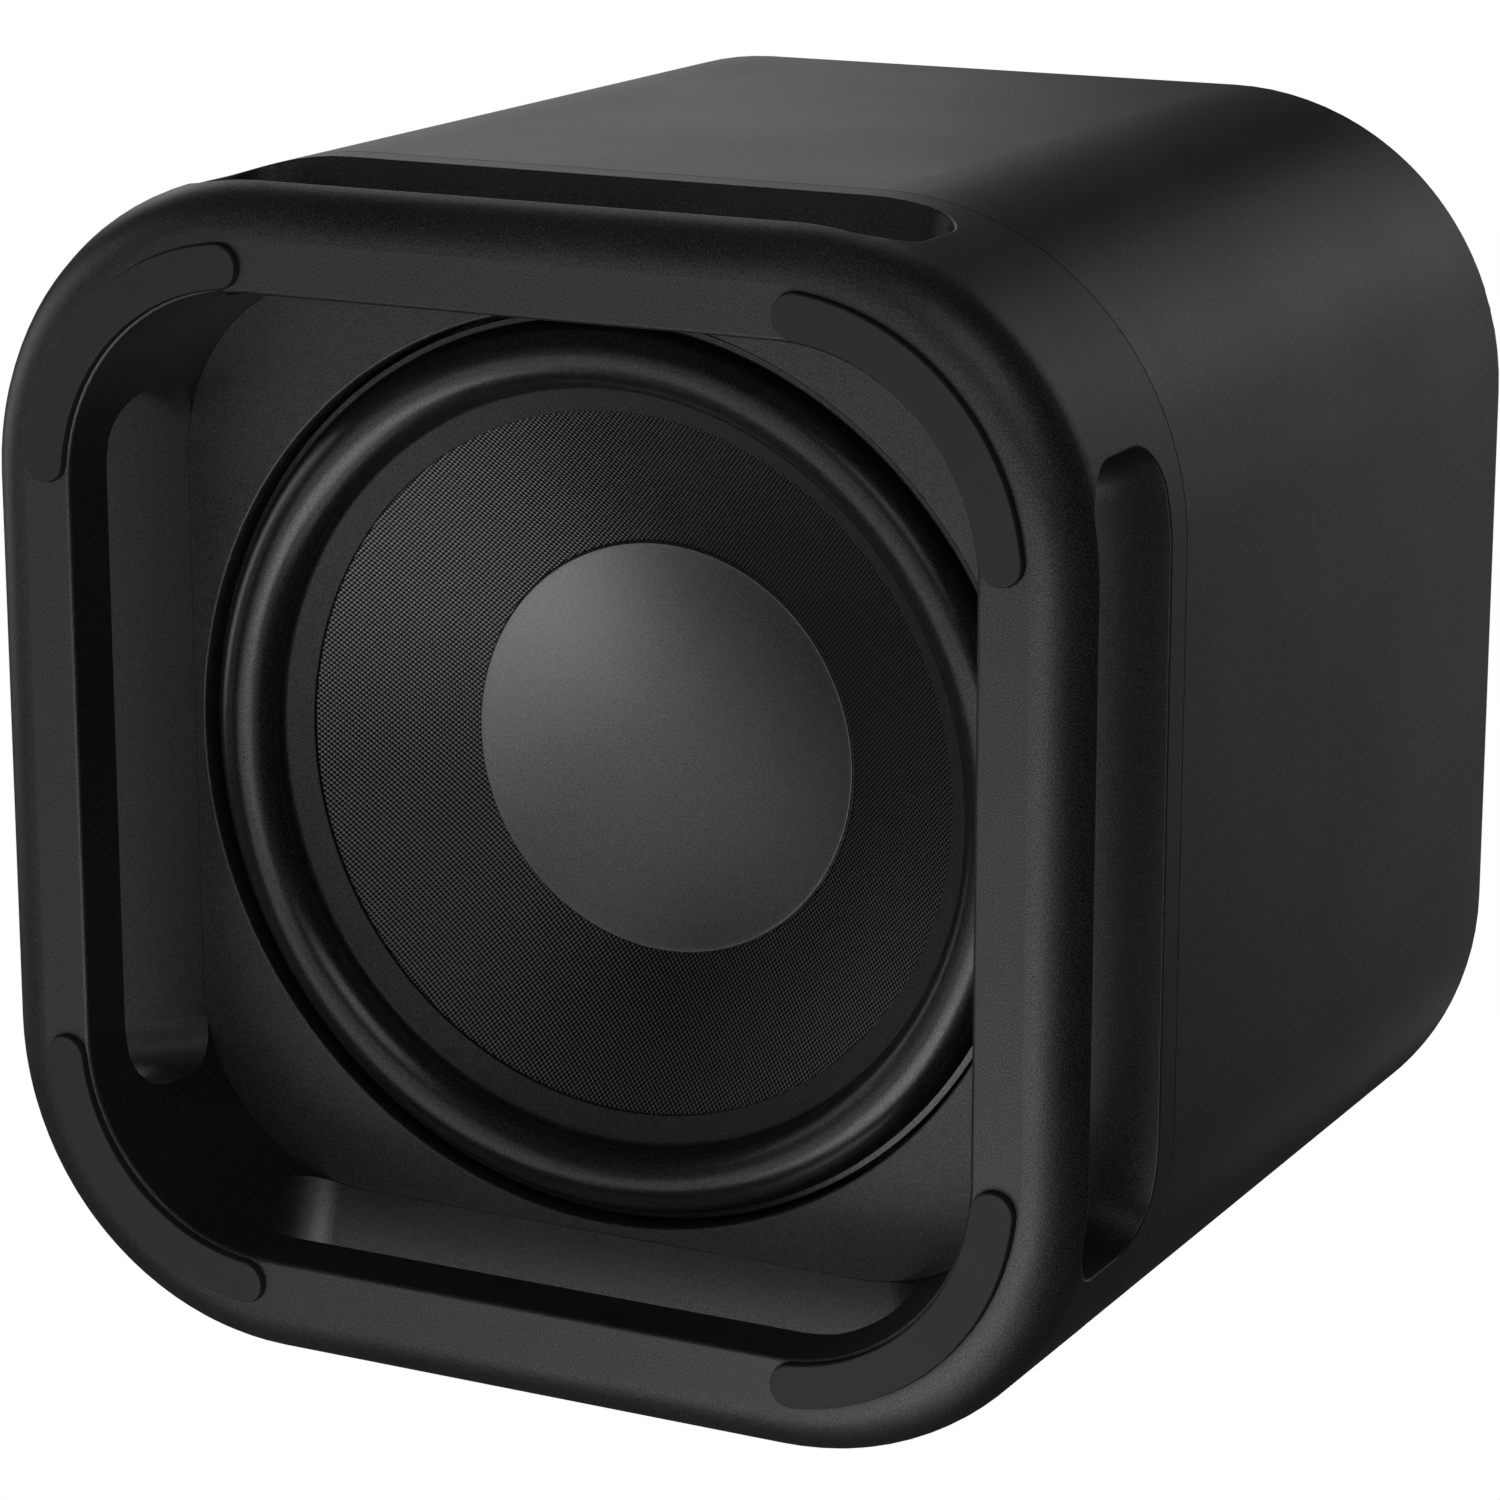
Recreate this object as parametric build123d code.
from build123d import *
import math
import os

# Compact down-firing active subwoofer. Millimetres, +Z up, origin on the floor
# under the middle of the cabinet. -Y is the front, +Y the back with the panel.

# ---- Driving dimensions: cabinet and base -----------------------------------
WIDTH = 220.0                 # outer width and depth
HALF = WIDTH / 2
CORNER_R = 57.75              # outer corner radius, seen from above
CORNER_C = HALF - CORNER_R    # corner centres, shared by every concentric outline
HEIGHT = 211.0
SEAM_Z = 45.5                 # where the shell stands on the base
SEAM_GAP = 0.3                # height of the fine shadow line at the seam
SEAM_DEPTH = 0.5
SHELL_WALL = 4.0
TOP_FILLET = 3.0
SHELL_IN = HALF - SHELL_WALL

RING_Z = 1.5                  # underside of the base ring
RING_FILLET = 10.0            # rounding of the base's outer lower edge
OPEN_BOTTOM = 90.4            # half width of the opening at the ring's underside
OPEN_TOP = 88.2               # half width where the opening meets the baffle
OPEN_EDGE_R = 0.8
BAFFLE_Z = 37.3               # lower face of the baffle
HOLE_EDGE_R = 0.5             # rounding of the baffle's round opening
BAFFLE_BACK_Z = 49.5          # upper face of the baffle
BAFFLE_FIT = 0.1              # gap between the baffle and the base round it
FLANGE_HALF = 105.6           # half width of the baffle's upper flange

# ---- Air slots: one in each side of the base ---------------------------------
SLOT_OUT = dict(at=HALF + 2, half=73.75, low=8.35, high=38.6, r=10.0)
SLOT_IN = dict(at=84.0, half=66.5, low=13.7, high=37.1, r=9.0)
SLOT_EDGE_R = 0.4             # rounding of the slot's outer rim
SLOT_RIM_FROM = 104.0         # the outer rim's edges lie beyond this distance

# ---- Feet ---------------------------------------------------------------------
PAD_R_MID = 43.0              # radius of the pad's centreline about the corner centre
PAD_WIDTH = 8.0
PAD_ARC = (6.1, 83.9)         # where the pad's round ends are centred, degrees
PAD_RECESS = 0.9              # depth of the pocket that the pad sits in
PAD_GAP = 0.25                # shadow gap round the pad
PAD_EDGE_R = 0.3
BOSS_R_AT = 43.0              # base screws stand under the pads' middles
BOSS_XY = CORNER_C + BOSS_R_AT * math.cos(math.radians(45))
BOSS_R = 6.5
BOSS_TOP_Z = 72.0

# ---- Base screws (M4) ----------------------------------------------------------
CLEARANCE = 0.3               # round a screw in the part that it passes through
BASE_SCREW_R = 2.0
BASE_HEAD_R = 3.5
BASE_HEAD_H = 2.6
BASE_HEAD_Z = 12.0            # lower face of the head, deep in its counterbore
BASE_SCREW_TIP_Z = 66.0

# ---- Gasket between baffle flange and shell -----------------------------------
SEAL_T = 1.0
SEAL_IN = 99.0
LEDGE_T = 3.0

# ---- Driver ---------------------------------------------------------------------
HOLE_R = 86.0                 # round opening in the baffle
RIM_R = 85.1                  # driver rim inside the opening
RIM_Z = 41.5                  # seat that the surround is glued to
SUR_T = 0.9                   # rubber thickness
SUR_MID_R = 77.5              # middle of the half-roll
SUR_ROLL_R = 6.0              # radius of the roll's lower face
SUR_FOOT_Z = RIM_Z - SUR_T    # lower face of the outer landing
BAND_IN_R = 66.4              # inner edge of the surround's inner landing
BAND_IN_Z = 44.8
BAND_SLOPE = 0.58             # rise per mm towards the axis, across the landing
GLUE = 0.05                   # glue line between cone and surround
CONE_EDGE_R = 71.3
CONE_T = 0.9
CONE_NECK_R = 19.6
CONE_NECK_H = 2.0
CONE_SLOPE = 0.566            # rise per mm towards the axis
CAP_R = 39.2
CAP_RIM_Z = 61.1
CAP_DEPTH = 5.5               # how far the middle of the dust cap is hollowed away from the floor
CAP_T = 0.8
FLANGE_R = 94.0
FLANGE_Z = 50.0
FLANGE_T = 2.5
DRIVER_SCREW_R = 2.0
DRIVER_HEAD_R = 3.3
DRIVER_SCREW_AT = 90.5
DRIVER_SCREWS = 8
DRIVER_SCREW_TIP_Z = 44.5
SPIDER_Z = 77.0
SPIDER_OUT_R = 54.0
SPIDER_SEAT_R = 48.5          # inner edge of the basket's seat for the spider
SPIDER_T = 0.5
SPIDER_WAVES = 5
SPIDER_WAVE_H = 1.6
FORMER_R = 19.2               # inside of the voice coil former
FORMER_T = 0.3
FORMER_TOP_Z = 98.0
COIL_T = 0.8
COIL_Z = (86.0, 98.0)
GAP_R = 21.0                  # bore of the top plate
POLE_R = 18.5
POLE_VENT_R = 5.0
TOP_PLATE_R = 46.0
TOP_PLATE_Z = (89.0, 95.0)
MAGNET_R = (27.0, 50.0)
MAGNET_Z = (95.0, 111.0)
BACK_PLATE_Z = (111.0, 117.0)
WINDOWS = 6
TERMINAL_Y = 88.5             # solder tag board on the basket, towards the back
TERMINAL_X = 6.0              # the two tags stand either side of the middle
TERMINAL_W = 22.0

# ---- Back panel and what it carries --------------------------------------------
PANEL_W = 130.0
PANEL_H = 116.0
PANEL_Z = 128.0
PANEL_R = 10.0
PANEL_T = 3.0
PANEL_SINK = 2.0              # how far the panel sits below the cabinet's back
PANEL_LIP = 7.0               # width of the shell's rebate behind the panel's edge
PANEL_FIT = 0.3
PANEL_OUT_Y = HALF - PANEL_SINK
PANEL_IN_Y = PANEL_OUT_Y - PANEL_T
PANEL_SEAL_T = 0.8
FRAME_BACK_Y = 98.0           # inner face of the shell's thickened frame
PANEL_SCREW_R = 1.5
PANEL_HEAD_R = 2.8
INLET_X = -34.0
INLET_Z = 84.0
BUTTON_X = 40.0
BUTTON_Z = 160.0
BUTTON_R = 4.0
BUTTON_PROUD = 0.8
BUTTON_FIT = 0.3
LIGHT_Z = 146.0
LIGHT_R = 1.5
BOARD_GAP = 12.0              # standoff length
BOARD_T = 1.6
BOARD_W = 108.0
BOARD_H = 76.0
BOARD_Z = 134.0
BOARD_Y = PANEL_IN_Y - BOARD_GAP   # face of the board towards the panel
BOARD_BACK_Y = BOARD_Y - BOARD_T
BOARD_HOLE_X = 48.0
BOARD_HOLE_Z = 33.0
BOARD_HOLES = [(sx * BOARD_HOLE_X, BOARD_Z + sz * BOARD_HOLE_Z)
               for sx in (-1, 1) for sz in (-1, 1)]
SPACER_R = 3.0
SPACER_BORE_R = 1.4
SINK = dict(x=20.0, dz=-4.0, w=44.0, h=40.0, base=4.0, fin=14.0, fins=8, fin_t=1.6)
CORE = dict(x=-34.0, dz=-8.0, w=28.0, h=32.0, depth=24.0)
CAN_R = 8.0
CAN_H = 26.0
CAN_PLACES = ((-44, 22), (-24, 22), (-4, 26))
COIL_R = (3.0, 7.0)
COIL_H = 9.0
COIL_X = (16, 34)
COIL_DZ = 27.0
RADIO_X = -28.0
LEAD_R = 0.9                  # insulated hook-up wire
LEAD_BOARD_Z = BOARD_Z - 34.0     # row of holes that the leads are soldered into
LEAD_BACK_Y = 80.0            # where the mains leads rise behind the inlet
PIN_X = 4.3                   # half the distance between the inlet's pins
PIN_R = 1.2
PIN_TAIL_Y = 86.0

os.makedirs("parts", exist_ok=True)


# ---- Helpers ----------------------------------------------------------------------
def rounded(half, z0, z1, corner_c=CORNER_C):
    """Upright prism whose corners share the cabinet's corner centres."""
    outline = Pos(0, 0, z0) * RectangleRounded(2 * half, 2 * half, half - corner_c)
    return extrude(outline, z1 - z0)


def ring_of(half_out, half_in, z0, z1):
    return rounded(half_out, z0, z1) - rounded(half_in, z0, z1)


def rod(r, z0, z1, x=0.0, y=0.0):
    return extrude(Pos(x, y, z0) * Circle(r), z1 - z0)


def tube(r_out, r_in, z0, z1):
    return extrude(Pos(0, 0, z0) * (Circle(r_out) - Circle(r_in)), z1 - z0)


def rod_y(r, y0, y1, x, z):
    """Round bar lying along Y, from y0 to y1."""
    plane = Plane(origin=(x, y0, z), x_dir=(1, 0, 0), z_dir=(0, 1, 0))
    return extrude(plane * Circle(r), y1 - y0)


def slab_y(width, height, y0, y1, x, z, r=0.0):
    """Block between two Y planes, with rounded corners if r is given."""
    plane = Plane(origin=(x, y0, z), x_dir=(1, 0, 0), z_dir=(0, 1, 0))
    outline = RectangleRounded(width, height, r) if r else Rectangle(width, height)
    return extrude(plane * outline, y1 - y0)


def spun(points):
    """Solid of revolution about Z from a closed outline of (r, z) points."""
    face = make_face(Polyline(*[(r, 0, z) for r, z in points], close=True))
    return revolve(face, Axis.Z)


def corners():
    return [(sx, sy) for sx in (-1, 1) for sy in (-1, 1)]


def save(shape, node):
    export_step(shape, f"parts/{node}.step")
    print(node, round(shape.volume / 1000, 3), "cm3")


# ---- Cabinet shell ------------------------------------------------------------------
def cabinet_shell():
    body = rounded(HALF, SEAM_Z, HEIGHT)
    body = fillet(body.faces().sort_by(Axis.Z)[-1].edges(), TOP_FILLET)
    body -= rounded(SHELL_IN, SEAM_Z, HEIGHT - SHELL_WALL)
    ledge_z = BAFFLE_BACK_Z + SEAL_T
    body += ring_of(SHELL_IN + 1, SEAL_IN, ledge_z, ledge_z + LEDGE_T)
    for sx, sy in corners():
        x, y = sx * BOSS_XY, sy * BOSS_XY
        post = rod(BOSS_R, ledge_z, BOSS_TOP_Z, x, y)
        web_at = CORNER_C + (BOSS_R_AT + 8) * math.cos(math.radians(45))
        web = Pos(sx * web_at, sy * web_at, (ledge_z + BOSS_TOP_Z) / 2)
        web *= Rot(0, 0, 45 * sx * sy)
        body += post + web * Box(10, 3, BOSS_TOP_Z - ledge_z)
    for sx, sy in corners():
        x, y = sx * BOSS_XY, sy * BOSS_XY
        body -= rod(BASE_SCREW_R, ledge_z, BASE_SCREW_TIP_Z + 1, x, y)
    frame_w, frame_h = PANEL_W + 2 * PANEL_LIP, PANEL_H + 2 * PANEL_LIP
    body += slab_y(frame_w, frame_h, FRAME_BACK_Y, SHELL_IN + 1, 0, PANEL_Z, PANEL_R + 6)
    rebate_y = PANEL_IN_Y - PANEL_SEAL_T
    body -= slab_y(PANEL_W, PANEL_H, rebate_y, HALF + 1, 0, PANEL_Z, PANEL_R)
    lip = 2 * PANEL_LIP
    body -= slab_y(PANEL_W - lip, PANEL_H - lip, FRAME_BACK_Y - 1, HALF, 0, PANEL_Z, PANEL_R - 3)
    for x, z in panel_screw_places():
        body -= rod_y(PANEL_SCREW_R, FRAME_BACK_Y + 1, rebate_y + 1, x, z)
    return body


# ---- Base ring -----------------------------------------------------------------------
def slot_cutter():
    """Tapered slot through the +X side: wide outside, narrower inside."""
    faces = []
    for s in (SLOT_OUT, SLOT_IN):
        mid_z = (s["low"] + s["high"]) / 2
        plane = Plane(origin=(s["at"], 0, mid_z), x_dir=(0, 1, 0), z_dir=(1, 0, 0))
        faces.append(plane * RectangleRounded(2 * s["half"], s["high"] - s["low"], s["r"]))
    return loft(faces)


def pad_outline(width):
    """Curved stadium about the origin: an arc band with full round ends."""
    r_out = PAD_R_MID + width / 2
    r_in = PAD_R_MID - width / 2
    a0, a1 = PAD_ARC
    ends = []
    for a in (a0, a1):
        rad = math.radians(a)
        ends.append(Pos(PAD_R_MID * math.cos(rad), PAD_R_MID * math.sin(rad)) * Circle(width / 2))
    rim = [(r * math.cos(math.radians(a)), r * math.sin(math.radians(a)))
           for r, a in ((r_in, a0), (r_out, a0), (r_out, a1), (r_in, a1))]
    band = make_face([
        Line(rim[0], rim[1]),
        CenterArc((0, 0), r_out, a0, a1 - a0),
        Line(rim[2], rim[3]),
        CenterArc((0, 0), r_in, a0, a1 - a0),
    ])
    return band + ends[0] + ends[1]


def at_corner(shape, sx, sy):
    """Move a shape made for the +X +Y corner about the origin to a corner centre."""
    turn = {(1, 1): 0, (-1, 1): 90, (-1, -1): 180, (1, -1): 270}[(sx, sy)]
    return Pos(sx * CORNER_C, sy * CORNER_C, 0) * Rot(0, 0, turn) * shape


def foot_pad():
    pad = extrude(pad_outline(PAD_WIDTH), RING_Z + PAD_RECESS)
    return fillet(pad.faces().sort_by(Axis.Z)[0].edges(), PAD_EDGE_R)


def base_opening():
    """Opening under the driver: drafted up to the baffle, then straight."""
    outlines = []
    for half, z in ((OPEN_BOTTOM, RING_Z), (OPEN_TOP, BAFFLE_Z)):
        outlines.append(Pos(0, 0, z) * RectangleRounded(2 * half, 2 * half, half - CORNER_C))
    return loft(outlines) + rounded(OPEN_TOP, BAFFLE_Z, SEAM_Z)


def slot_rims(body):
    """Edges where the slots break out through the sides."""
    def on_rim(e):
        reach = max(abs(e.center().X), abs(e.center().Y))
        middle = e @ 0.5
        along = min(abs(middle.X), abs(middle.Y))
        low, high = SLOT_OUT["low"] - 1.35, SLOT_OUT["high"] + 0.9
        return reach > SLOT_RIM_FROM and low < e.center().Z < high and along < SLOT_OUT["half"] + 0.25

    return body.edges().filter_by(on_rim)


def base_ring():
    body = rounded(HALF, RING_Z, SEAM_Z)
    body = fillet(body.faces().sort_by(Axis.Z)[0].edges(), RING_FILLET)
    body -= ring_of(HALF + 1, HALF - SEAM_DEPTH, SEAM_Z - SEAM_GAP, SEAM_Z)
    body -= base_opening()
    inner_edges = body.edges().filter_by(lambda e: abs(e.center().Z - RING_Z) < 0.01)
    inner_edges = inner_edges.filter_by(
        lambda e: max(abs(e.center().X), abs(e.center().Y)) < OPEN_BOTTOM + 0.6)
    body = fillet(inner_edges, OPEN_EDGE_R)
    cutter = slot_cutter()
    for turn in (0, 90, 180, 270):
        body -= Rot(0, 0, turn) * cutter
    body = fillet(slot_rims(body), SLOT_EDGE_R)
    pocket = Pos(0, 0, RING_Z) * extrude(pad_outline(PAD_WIDTH + 2 * PAD_GAP), PAD_RECESS)
    for sx, sy in corners():
        x, y = sx * BOSS_XY, sy * BOSS_XY
        body -= at_corner(pocket, sx, sy)
        body -= rod(BASE_HEAD_R + CLEARANCE, RING_Z, BASE_HEAD_Z + BASE_HEAD_H, x, y)
        body -= rod(BASE_SCREW_R + CLEARANCE, RING_Z, SEAM_Z, x, y)
    return body


# ---- Baffle and its seal ----------------------------------------------------------------
def baffle():
    body = rounded(OPEN_TOP - BAFFLE_FIT, BAFFLE_Z, SEAM_Z)
    body += rounded(FLANGE_HALF, SEAM_Z, BAFFLE_BACK_Z)
    body -= rod(HOLE_R, BAFFLE_Z, BAFFLE_BACK_Z)
    rim = body.edges().filter_by(GeomType.CIRCLE).filter_by(
        lambda e: abs(e.radius - HOLE_R) < 0.01 and abs(e.center().Z - BAFFLE_Z) < 0.01)
    body = fillet(rim, HOLE_EDGE_R)
    for sx, sy in corners():
        x, y = sx * BOSS_XY, sy * BOSS_XY
        body -= rod(BASE_SCREW_R + CLEARANCE, BAFFLE_Z, BAFFLE_BACK_Z, x, y)
    for x, y in driver_screw_places():
        body -= rod(DRIVER_SCREW_R, DRIVER_SCREW_TIP_Z - 1, BAFFLE_BACK_Z, x, y)
    return body


def base_gasket():
    seal = ring_of(FLANGE_HALF, SEAL_IN, BAFFLE_BACK_Z, BAFFLE_BACK_Z + SEAL_T)
    for sx, sy in corners():
        x, y = sx * BOSS_XY, sy * BOSS_XY
        seal -= rod(BOSS_R + CLEARANCE, BAFFLE_BACK_Z, BAFFLE_BACK_Z + SEAL_T, x, y)
    return seal


def base_screws():
    group = []
    for sx, sy in corners():
        x, y = sx * BOSS_XY, sy * BOSS_XY
        screw = rod(BASE_HEAD_R, BASE_HEAD_Z, BASE_HEAD_Z + BASE_HEAD_H, x, y)
        screw += rod(BASE_SCREW_R, BASE_HEAD_Z, BASE_SCREW_TIP_Z, x, y)
        screw -= extrude(Pos(x, y, BASE_HEAD_Z) * RegularPolygon(1.5, 6), 1.6)
        group.append(screw)
    return Compound(children=group)


# ---- Driver ------------------------------------------------------------------------------
def driver_screw_places():
    step = 360 / DRIVER_SCREWS
    angles = [math.radians(step * (i + 0.5)) for i in range(DRIVER_SCREWS)]
    return [(DRIVER_SCREW_AT * math.cos(a), DRIVER_SCREW_AT * math.sin(a)) for a in angles]


def driver_basket():
    flange_top = FLANGE_Z + FLANGE_T
    landing = SPIDER_Z + SPIDER_T / 2
    frame = spun([
        (RIM_R, RIM_Z), (RIM_R, FLANGE_Z), (FLANGE_R, FLANGE_Z), (FLANGE_R, flange_top),
        (84.0, flange_top), (58.5, landing + 2), (SPIDER_SEAT_R + 2, landing + 2),
        (SPIDER_SEAT_R + 2, TOP_PLATE_Z[0]), (24.0, TOP_PLATE_Z[0]), (24.0, TOP_PLATE_Z[0] - 2.5),
        (SPIDER_SEAT_R, TOP_PLATE_Z[0] - 2.5), (SPIDER_SEAT_R, landing), (57.0, landing),
        (81.6, flange_top - 2), (82.6, RIM_Z),
    ])
    window = Pos(70, 0, (flange_top + landing) / 2) * Box(30, 36, landing - flange_top - 6)
    for i in range(WINDOWS):
        frame -= Rot(0, 0, i * 360 / WINDOWS + 30) * window
    for x, y in driver_screw_places():
        frame -= rod(DRIVER_SCREW_R + CLEARANCE, FLANGE_Z, flange_top, x, y)
    return frame


def driver_gasket():
    seal = tube(FLANGE_R, HOLE_R + 0.5, BAFFLE_BACK_Z, FLANGE_Z)
    for x, y in driver_screw_places():
        seal -= rod(DRIVER_SCREW_R + CLEARANCE, BAFFLE_BACK_Z, FLANGE_Z, x, y)
    return seal


def driver_screws():
    group = []
    top = FLANGE_Z + FLANGE_T
    for x, y in driver_screw_places():
        screw = rod(DRIVER_SCREW_R, DRIVER_SCREW_TIP_Z, top, x, y)
        screw += rod(DRIVER_HEAD_R, top, top + 2, x, y)
        screw -= Pos(x, y, top + 1.4) * Box(4, 0.9, 1.2)
        screw -= Pos(x, y, top + 1.4) * Box(0.9, 4, 1.2)
        group.append(screw)
    return Compound(children=group)


def landing_z(r):
    """Lower face of the surround's inner landing at radius r."""
    return BAND_IN_Z - (r - BAND_IN_R) * BAND_SLOPE


def cone_lower_z(r):
    """Lower face of the cone at radius r, inside the landing."""
    return BAND_IN_Z + SUR_T + GLUE + (BAND_IN_R - r) * CONE_SLOPE


def surround():
    """Rubber half-roll: outer landing, roll towards the floor, deep inner side, inner landing."""
    roll_hi = SUR_ROLL_R - SUR_T
    foot_in = SUR_MID_R - SUR_ROLL_R
    foot_out = SUR_MID_R + SUR_ROLL_R
    back_in = foot_in + SUR_T
    back_out = foot_out - SUR_T
    outline = [
        Line((RIM_R, SUR_FOOT_Z), (foot_out, SUR_FOOT_Z)),
        ThreePointArc((foot_out, SUR_FOOT_Z), (SUR_MID_R, SUR_FOOT_Z - SUR_ROLL_R),
                      (foot_in, SUR_FOOT_Z)),
        Line((foot_in, SUR_FOOT_Z), (foot_in, landing_z(foot_in))),
        Line((foot_in, landing_z(foot_in)), (BAND_IN_R, BAND_IN_Z)),
        Line((BAND_IN_R, BAND_IN_Z), (BAND_IN_R, BAND_IN_Z + SUR_T)),
        Line((BAND_IN_R, BAND_IN_Z + SUR_T), (back_in, landing_z(back_in) + SUR_T)),
        Line((back_in, landing_z(back_in) + SUR_T), (back_in, SUR_FOOT_Z)),
        ThreePointArc((back_in, SUR_FOOT_Z), (SUR_MID_R, SUR_FOOT_Z - roll_hi),
                      (back_out, SUR_FOOT_Z)),
        Line((back_out, SUR_FOOT_Z), (back_out, RIM_Z)),
        Line((back_out, RIM_Z), (RIM_R, RIM_Z)),
        Line((RIM_R, RIM_Z), (RIM_R, SUR_FOOT_Z)),
    ]
    return revolve(Plane.XZ * make_face(outline), Axis.Z)


def cone():
    glued = SUR_T + GLUE
    neck_z = cone_lower_z(CONE_NECK_R)
    return spun([
        (CONE_EDGE_R, landing_z(CONE_EDGE_R) + glued), (BAND_IN_R, cone_lower_z(BAND_IN_R)),
        (CONE_NECK_R, neck_z), (CONE_NECK_R, neck_z + CONE_NECK_H),
        (CONE_NECK_R + CONE_T, neck_z + CONE_NECK_H), (CONE_NECK_R + CONE_T, neck_z + CONE_T / 2),
        (BAND_IN_R, cone_lower_z(BAND_IN_R) + CONE_T),
        (CONE_EDGE_R, landing_z(CONE_EDGE_R) + glued + CONE_T),
    ])


def dust_cap():
    """Shallow dish hollowed away from the floor, glued to the cone round its rim."""
    ball_r = (CAP_R ** 2 + CAP_DEPTH ** 2) / (2 * CAP_DEPTH)
    centre = Pos(0, 0, CAP_RIM_Z + CAP_DEPTH - ball_r)
    shell = centre * Sphere(ball_r) - centre * Sphere(ball_r - CAP_T)
    return shell & rod(CAP_R, CAP_RIM_Z - 2 * CAP_T, CAP_RIM_Z + 2 * CAP_DEPTH)


def voice_coil_former():
    return tube(FORMER_R + FORMER_T, FORMER_R, cone_lower_z(CONE_NECK_R) - 1, FORMER_TOP_Z)


def voice_coil_winding():
    return tube(FORMER_R + FORMER_T + COIL_T, FORMER_R + FORMER_T, COIL_Z[0], COIL_Z[1])


def spider():
    """Corrugated cloth disc that centres the former."""
    r0 = FORMER_R + FORMER_T
    r1 = 50.0
    steps = 2 * SPIDER_WAVES
    pitch = (r1 - r0 - 6) / steps
    line = [(r0, SPIDER_Z), (r0 + 3, SPIDER_Z)]
    for i in range(steps):
        sign = 1 if i % 2 else -1
        line.append((r0 + 3 + (i + 0.5) * pitch, SPIDER_Z + sign * SPIDER_WAVE_H / 2))
    line += [(r1 - 3, SPIDER_Z), (SPIDER_OUT_R, SPIDER_Z)]
    low = [(r, z - SPIDER_T / 2) for r, z in line]
    high = [(r, z + SPIDER_T / 2) for r, z in reversed(line)]
    return spun(low + high)


def back_plate():
    z0, z1 = BACK_PLATE_Z
    body = rod(TOP_PLATE_R, z0, z1) + rod(POLE_R, TOP_PLATE_Z[0], z0)
    return body - rod(POLE_VENT_R, TOP_PLATE_Z[0], z1)


def terminal_strip():
    """Solder tags on a small board clipped to the basket, towards the back panel."""
    foot_z = FLANGE_Z + FLANGE_T
    strip = Pos(0, TERMINAL_Y, foot_z + 5) * Box(TERMINAL_W, 2, 10)
    strip += Pos(0, TERMINAL_Y + 2, foot_z + 1) * Box(TERMINAL_W, 5, 2)
    for x in (-TERMINAL_X, TERMINAL_X):
        strip += Pos(x, TERMINAL_Y - 2, foot_z + 7) * Box(5, 3, 1)
    return strip


# ---- Back panel ------------------------------------------------------------------------------
def panel_screw_places():
    dx = (PANEL_W - PANEL_LIP) / 2
    dz = (PANEL_H - PANEL_LIP) / 2
    sides = [(sx * dx, PANEL_Z) for sx in (-1, 1)] + [(0, PANEL_Z + sz * dz) for sz in (-1, 1)]
    at_corners = [(sx * (dx - 2), PANEL_Z + sz * (dz - 2)) for sx in (-1, 1) for sz in (-1, 1)]
    return sides + at_corners


def rear_panel():
    w, h = PANEL_W - 2 * PANEL_FIT, PANEL_H - 2 * PANEL_FIT
    plate = slab_y(w, h, PANEL_IN_Y, PANEL_OUT_Y, 0, PANEL_Z, PANEL_R - PANEL_FIT)
    plate = fillet(plate.faces().sort_by(Axis.Y)[-1].edges(), 0.6)
    for x, z in panel_screw_places():
        plate -= rod_y(PANEL_SCREW_R + 0.2, PANEL_IN_Y, PANEL_OUT_Y, x, z)
    plate -= slab_y(22.4, 12.4, PANEL_IN_Y, PANEL_OUT_Y, INLET_X, INLET_Z, 5.5)
    plate -= rod_y(BUTTON_R + BUTTON_FIT, PANEL_IN_Y, PANEL_OUT_Y, BUTTON_X, BUTTON_Z)
    plate -= rod_y(LIGHT_R, PANEL_IN_Y, PANEL_OUT_Y, BUTTON_X, LIGHT_Z)
    return plate


def rear_gasket():
    y0 = PANEL_IN_Y - PANEL_SEAL_T
    w, h = PANEL_W - 2 * PANEL_FIT, PANEL_H - 2 * PANEL_FIT
    lip = 2 * PANEL_LIP
    seal = slab_y(w, h, y0, PANEL_IN_Y, 0, PANEL_Z, PANEL_R - PANEL_FIT)
    seal -= slab_y(PANEL_W - lip, PANEL_H - lip, y0, PANEL_IN_Y, 0, PANEL_Z, PANEL_R - 3)
    for x, z in panel_screw_places():
        seal -= rod_y(PANEL_SCREW_R + 0.2, y0, PANEL_IN_Y, x, z)
    return seal


def rear_screws():
    group = []
    for x, z in panel_screw_places():
        screw = rod_y(PANEL_SCREW_R, FRAME_BACK_Y + 2, PANEL_OUT_Y, x, z)
        head = rod_y(PANEL_HEAD_R, PANEL_OUT_Y, PANEL_OUT_Y + 1.5, x, z)
        head = fillet(head.faces().sort_by(Axis.Y)[-1].edges(), 0.6)
        for w, h in ((3.2, 0.7), (0.7, 3.2)):
            head -= Pos(x, PANEL_OUT_Y + 1.2, z) * Box(w, 1.0, h)
        group.append(screw + head)
    return Compound(children=group)


def figure_eight(r, spread):
    ends = Pos(-spread, 0) * Circle(r) + Pos(spread, 0) * Circle(r)
    return ends + Rectangle(2 * spread, 1.5 * r)


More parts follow.
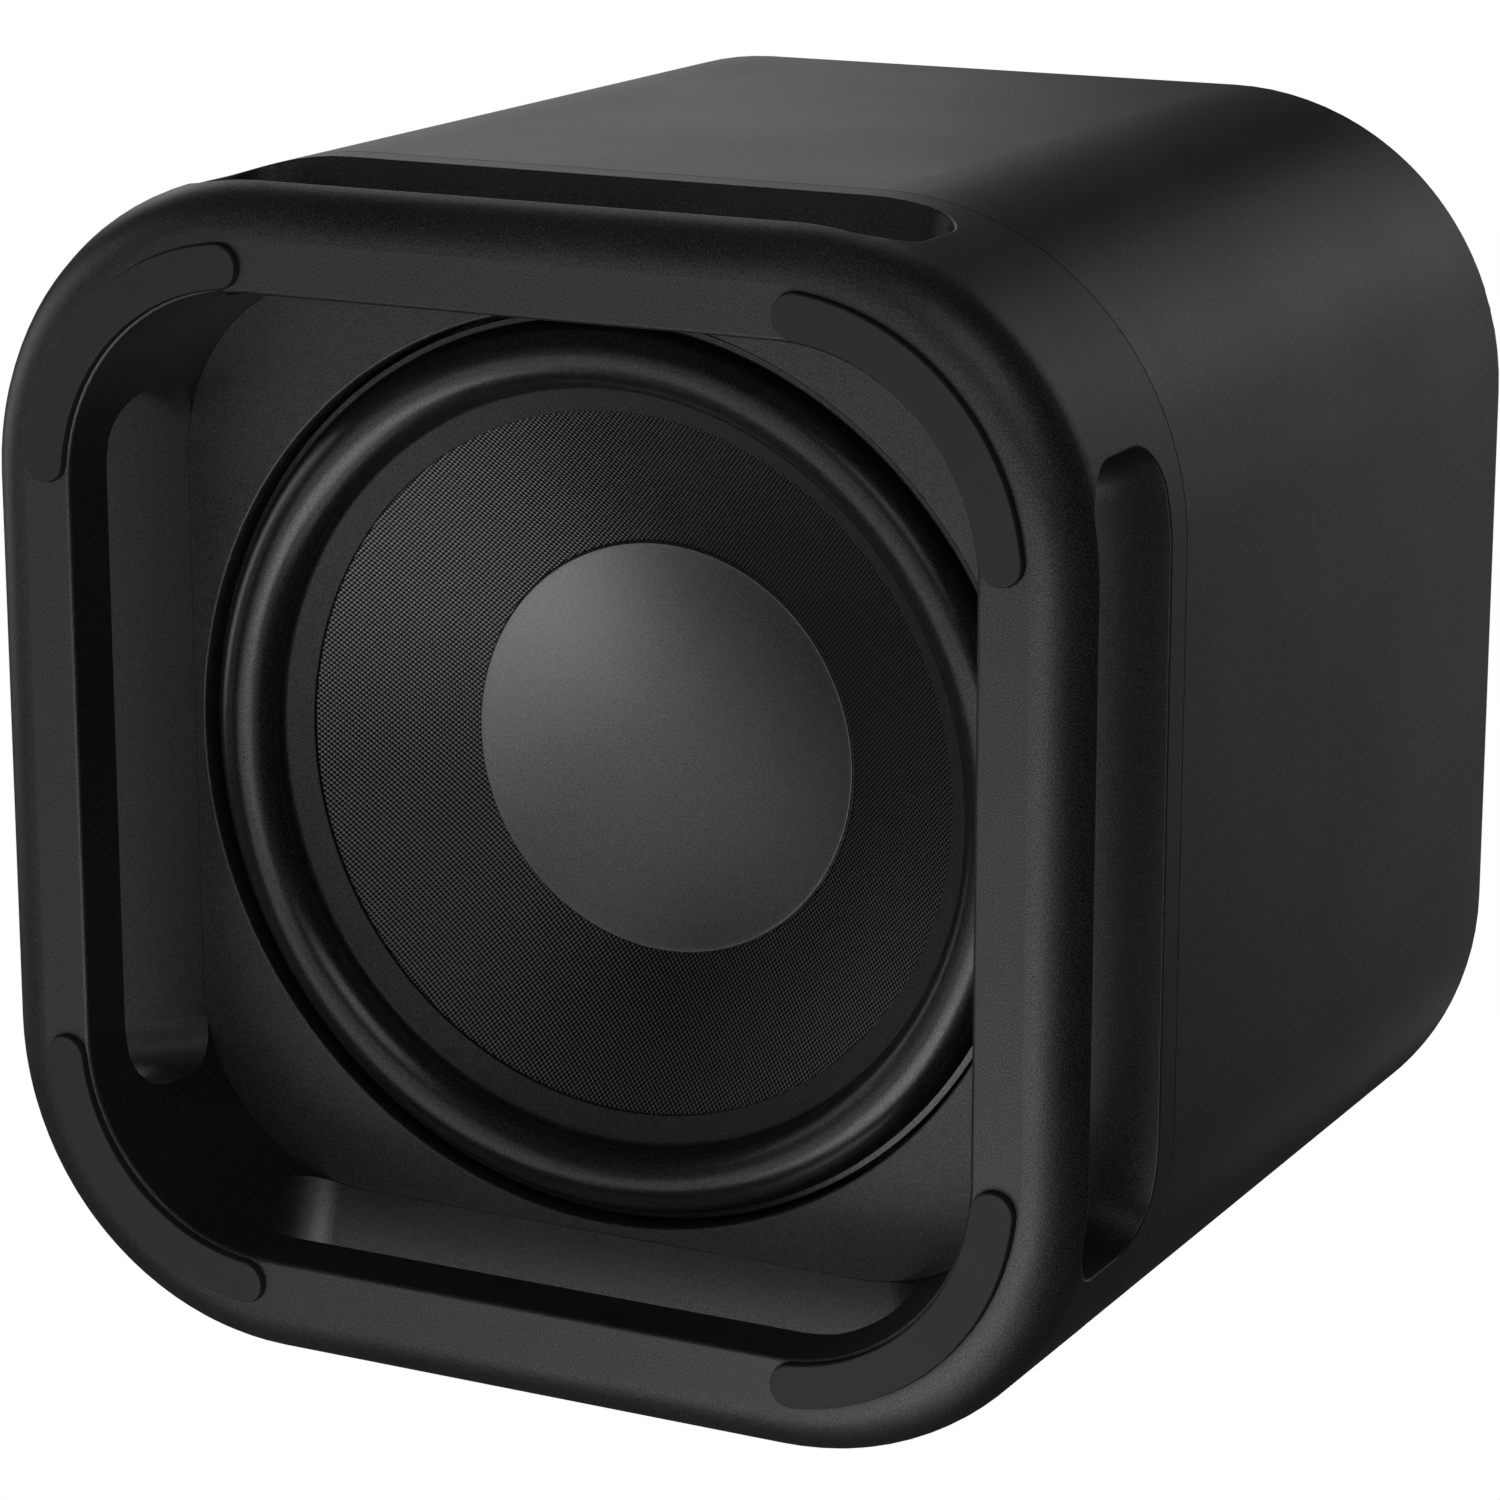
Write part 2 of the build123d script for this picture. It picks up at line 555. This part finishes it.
def mains_inlet():
    """Two-pole figure-eight appliance inlet: flange outside, body through the panel."""
    body = slab_y(22.0, 12.0, 90.0, PANEL_OUT_Y, INLET_X, INLET_Z, 5.3)
    body += slab_y(27.0, 16.0, PANEL_OUT_Y, PANEL_OUT_Y + 1.6, INLET_X, INLET_Z, 6.0)
    mouth = Plane(origin=(INLET_X, 93.0, INLET_Z), x_dir=(1, 0, 0), z_dir=(0, 1, 0))
    body -= extrude(mouth * figure_eight(4.2, PIN_X), PANEL_OUT_Y + 2 - 93.0)
    for sx in (-1, 1):
        body -= rod_y(PIN_R, 89.0, 94.0, INLET_X + sx * PIN_X, INLET_Z)
    return body


def inlet_pins():
    pins = []
    for sx in (-1, 1):
        pin = rod_y(PIN_R, PIN_TAIL_Y, PANEL_OUT_Y - 2, INLET_X + sx * PIN_X, INLET_Z)
        pins.append(fillet(pin.faces().sort_by(Axis.Y)[-1].edges(), 0.5))
    return Compound(children=pins)


def pair_button():
    """Round push button with a collar behind the panel that keeps it captive."""
    out_y = PANEL_OUT_Y + BUTTON_PROUD
    body = rod_y(BUTTON_R, PANEL_IN_Y - 0.3, out_y, BUTTON_X, BUTTON_Z)
    body = fillet(body.faces().sort_by(Axis.Y)[-1].edges(), 0.5)
    body += rod_y(BUTTON_R + 1.5, PANEL_IN_Y - 1.8, PANEL_IN_Y - 0.3, BUTTON_X, BUTTON_Z)
    body += rod_y(1.5, BOARD_Y + 5.3, PANEL_IN_Y - 1.8, BUTTON_X, BUTTON_Z)
    return body


def tact_switch():
    body = slab_y(6, 6, BOARD_Y, BOARD_Y + 3.4, BUTTON_X, BUTTON_Z, 0.5)
    return body + rod_y(1.7, BOARD_Y + 3.4, BOARD_Y + 4.2, BUTTON_X, BUTTON_Z)


def status_light():
    return rod_y(LIGHT_R, BOARD_Y, PANEL_OUT_Y + 0.3, BUTTON_X, LIGHT_Z)


# ---- Electronics behind the panel ------------------------------------------------------------------
def amplifier_board():
    board = slab_y(BOARD_W, BOARD_H, BOARD_BACK_Y, BOARD_Y, 0, BOARD_Z, 2)
    for x, z in BOARD_HOLES:
        board -= rod_y(1.6, BOARD_BACK_Y, BOARD_Y, x, z)
    return board


def board_standoffs():
    group = []
    for x, z in BOARD_HOLES:
        spacer = rod_y(SPACER_R, BOARD_Y, PANEL_IN_Y, x, z)
        group.append(spacer - rod_y(SPACER_BORE_R, BOARD_Y, BOARD_Y + 7, x, z))
    return Compound(children=group)


def board_screws():
    group = []
    for x, z in BOARD_HOLES:
        screw = rod_y(SPACER_BORE_R, BOARD_BACK_Y, BOARD_Y + 6, x, z)
        group.append(screw + rod_y(2.7, BOARD_BACK_Y - 1.8, BOARD_BACK_Y, x, z))
    return Compound(children=group)


def heat_sink():
    """Finned block on the board's inner face."""
    base_y = BOARD_BACK_Y - SINK["base"]
    z = BOARD_Z + SINK["dz"]
    body = slab_y(SINK["w"], SINK["h"], base_y, BOARD_BACK_Y, SINK["x"], z)
    span = SINK["w"] - 2 * SINK["fin_t"]
    for i in range(SINK["fins"]):
        x = SINK["x"] - span / 2 + i * span / (SINK["fins"] - 1)
        body += slab_y(SINK["fin_t"], SINK["h"], base_y - SINK["fin"], base_y, x, z)
    return body


def transformer():
    """Ferrite core with its bobbin standing out above and below."""
    core_y = BOARD_BACK_Y - CORE["depth"]
    x, z = CORE["x"], BOARD_Z + CORE["dz"]
    body = slab_y(CORE["w"], CORE["h"], core_y, BOARD_BACK_Y, x, z, 1)
    return body + slab_y(CORE["w"] - 8, CORE["h"] + 6, core_y + 4, BOARD_BACK_Y - 4, x, z, 3)


def capacitors():
    cans = [rod_y(CAN_R, BOARD_BACK_Y - CAN_H, BOARD_BACK_Y, x, BOARD_Z + dz)
            for x, dz in CAN_PLACES]
    return Compound(children=cans)


def filter_coils():
    group = []
    inner, outer = COIL_R
    z = BOARD_Z + COIL_DZ
    for x in COIL_X:
        coil = rod_y(outer, BOARD_BACK_Y - COIL_H, BOARD_BACK_Y, x, z)
        group.append(coil - rod_y(inner, BOARD_BACK_Y - COIL_H, BOARD_BACK_Y, x, z))
    return Compound(children=group)


def wireless_module():
    """Radio board with its shielding can, on the board's outer face."""
    body = slab_y(20, 26, BOARD_Y, BOARD_Y + 1.0, RADIO_X, BOARD_Z + 14)
    return body + slab_y(16, 18, BOARD_Y + 1.0, BOARD_Y + 3.2, RADIO_X, BOARD_Z + 11, 1)


def wire(points, radii):
    """Insulated lead on straight runs joined by tangent arcs."""
    path = FilletPolyline(*points, radius=radii)
    start = Plane(origin=path @ 0, z_dir=path % 0)
    lead = sweep(start * Circle(LEAD_R), path=path)
    ratio = lead.volume / (path.length * math.pi * LEAD_R ** 2)
    print("lead length", round(path.length, 1), "volume ratio", round(ratio, 4))
    return lead


def speaker_wires():
    """Two leads from the board's inner face down to the driver's terminals."""
    group = []
    tag_z = FLANGE_Z + FLANGE_T + 7.5
    tag_y = TERMINAL_Y - 3
    for x in (-TERMINAL_X, TERMINAL_X):
        route = [
            (x, BOARD_BACK_Y, LEAD_BOARD_Z),
            (x, BOARD_BACK_Y - 9, LEAD_BOARD_Z),
            (x, BOARD_BACK_Y - 11, tag_z + 26),
            (x, tag_y, tag_z + 12),
            (x, tag_y, tag_z),
        ]
        group.append(wire(route, [3.6, 9.0, 5.0]))
    return Compound(children=group)


def mains_leads():
    """Two leads from the inlet's tails up to the board's inner face."""
    group = []
    for sx in (-1, 1):
        x = INLET_X + sx * PIN_X
        route = [
            (x, PIN_TAIL_Y, INLET_Z),
            (x, LEAD_BACK_Y, INLET_Z),
            (x, LEAD_BACK_Y, LEAD_BOARD_Z),
            (x, BOARD_BACK_Y, LEAD_BOARD_Z),
        ]
        group.append(wire(route, [2.7, 2.7]))
    return Compound(children=group)


def damping_pad():
    """Polyester wadding under the cabinet's top."""
    top = HEIGHT - SHELL_WALL - 0.5
    return extrude(Pos(0, -8, top - 14) * RectangleRounded(170, 160, 30), 14)


# ---- Write every node ----------------------------------------------------------------------------------
NODES = {
    "cabinet_shell": cabinet_shell,
    "base_ring": base_ring,
    "baffle": baffle,
    "base_gasket": base_gasket,
    "base_screws": base_screws,
    "driver_basket": driver_basket,
    "driver_gasket": driver_gasket,
    "driver_screws": driver_screws,
    "surround": surround,
    "cone": cone,
    "dust_cap": dust_cap,
    "voice_coil_former": voice_coil_former,
    "voice_coil_winding": voice_coil_winding,
    "spider": spider,
    "top_plate": lambda: tube(TOP_PLATE_R, GAP_R, *TOP_PLATE_Z),
    "magnet": lambda: tube(MAGNET_R[1], MAGNET_R[0], *MAGNET_Z),
    "back_plate": back_plate,
    "terminal_strip": terminal_strip,
    "rear_panel": rear_panel,
    "rear_gasket": rear_gasket,
    "rear_screws": rear_screws,
    "mains_inlet": mains_inlet,
    "inlet_pins": inlet_pins,
    "pair_button": pair_button,
    "tact_switch": tact_switch,
    "status_light": status_light,
    "amplifier_board": amplifier_board,
    "board_standoffs": board_standoffs,
    "board_screws": board_screws,
    "heat_sink": heat_sink,
    "transformer": transformer,
    "capacitors": capacitors,
    "filter_coils": filter_coils,
    "wireless_module": wireless_module,
    "speaker_wires": speaker_wires,
    "mains_leads": mains_leads,
    "damping_pad": damping_pad,
}
for node, make in NODES.items():
    save(make(), node)

FOOT_NAMES = {
    (-1, -1): "front_left",
    (1, -1): "front_right",
    (-1, 1): "rear_left",
    (1, 1): "rear_right",
}
for (sx, sy), place in FOOT_NAMES.items():
    save(at_corner(foot_pad(), sx, sy), f"foot_pad_{place}")
